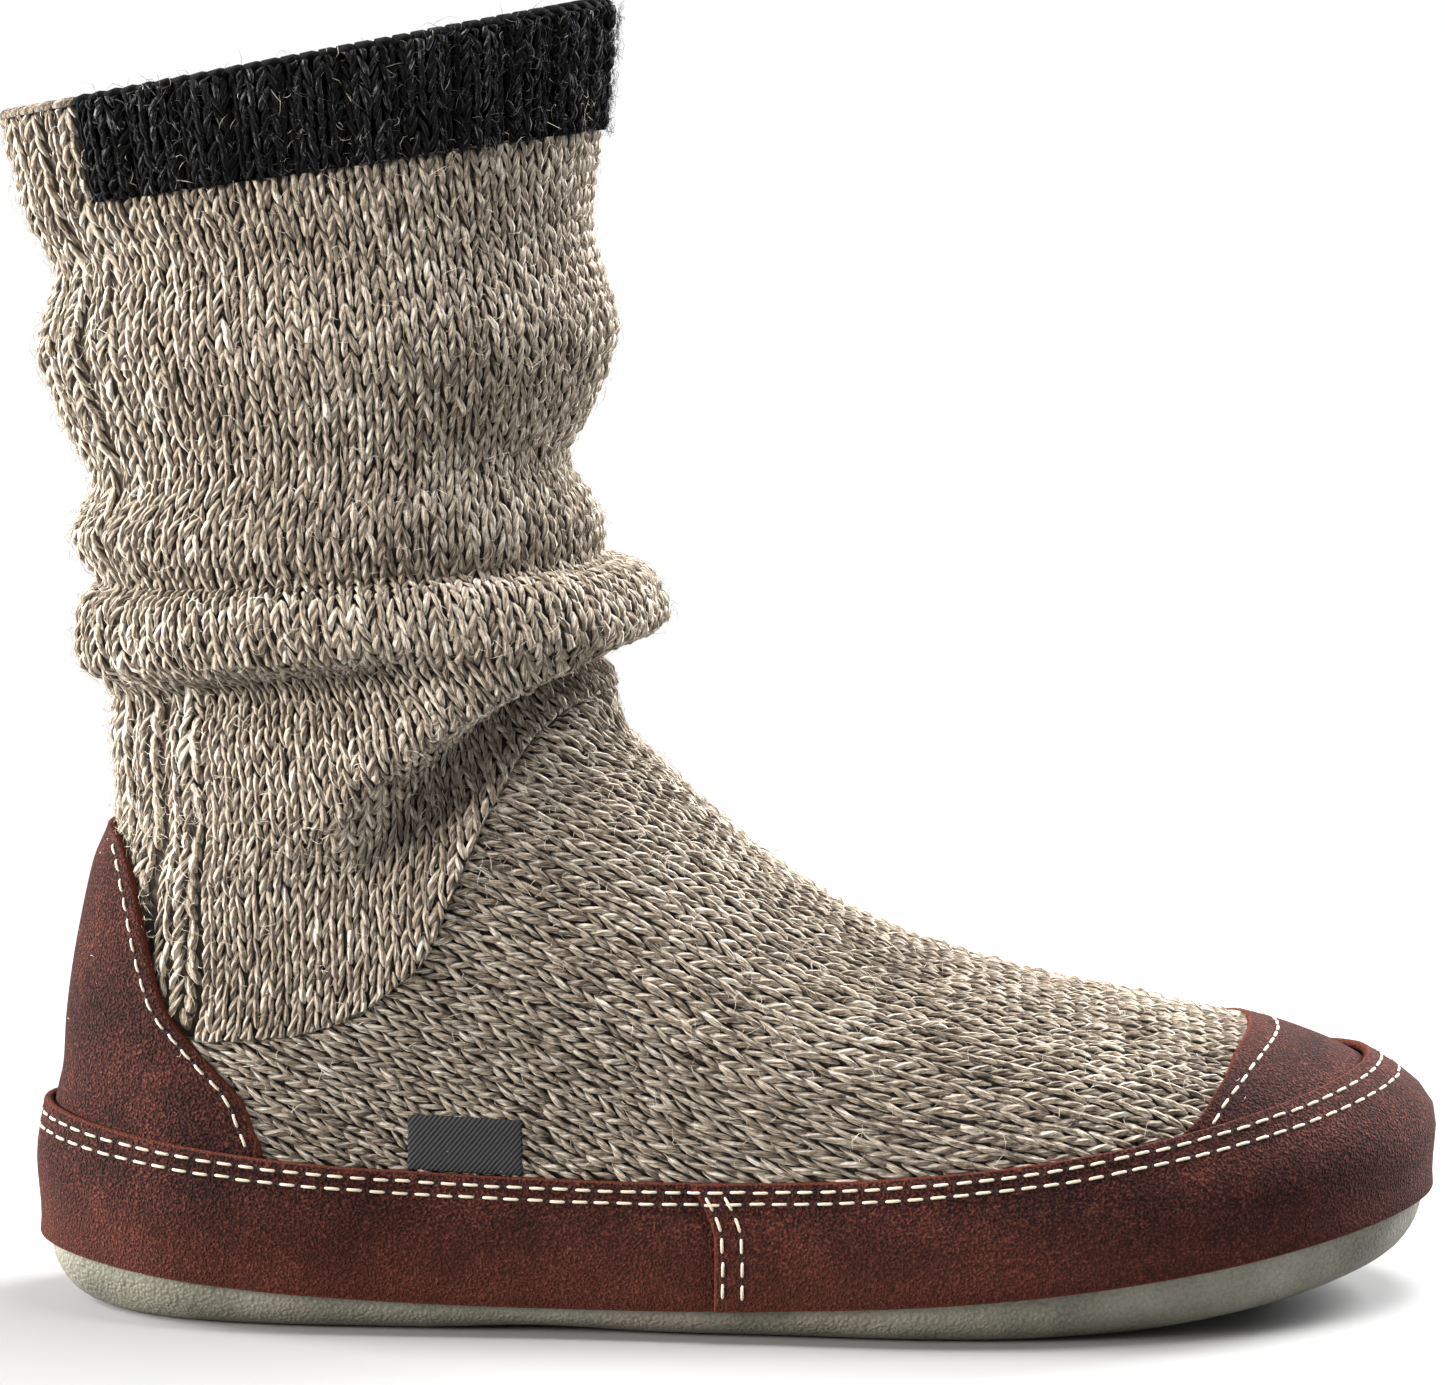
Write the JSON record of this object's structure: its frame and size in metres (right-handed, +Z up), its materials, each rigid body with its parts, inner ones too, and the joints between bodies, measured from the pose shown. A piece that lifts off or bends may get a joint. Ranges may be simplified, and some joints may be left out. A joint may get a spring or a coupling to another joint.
{
  "type": "slouch boot",
  "caption": "Knitted wool slouch boot with a ribbed cuff, suede toe cap, heel counter and rand on a foam sole, for the right foot.",
  "frame": {"origin": "on the floor under the middle of the heel seat, 45 mm ahead of the back of the heel, on the centre line", "axes": "+X from heel to toe, +Y towards the inner side of the foot, +Z up"},
  "size_m": [0.2916, 0.1003, 0.2643],
  "materials": {
    "foam_sole": "matt, leather-grained grey-green foam rubber",
    "footbed_felt": "brushed felt over foam",
    "ragg_wool": "marled beige and brown wool, plain knit and rib",
    "dark_wool": "charcoal marled wool, rib knit",
    "suede": "red-brown napped suede, cream stitching",
    "woven_tab": "slate grey woven ribbon, bare"
  },
  "bodies": {
    "root": {"outsole": "foam_sole", "insole": "footbed_felt", "foot_upper": "ragg_wool", "shaft": "ragg_wool", "back_rib": "ragg_wool", "cuff": "dark_wool", "heel_counter": "suede", "toe_cap": "suede", "rand_rear": "suede", "rand_front": "suede", "side_label": "woven_tab"}
  },
  "joints": []
}
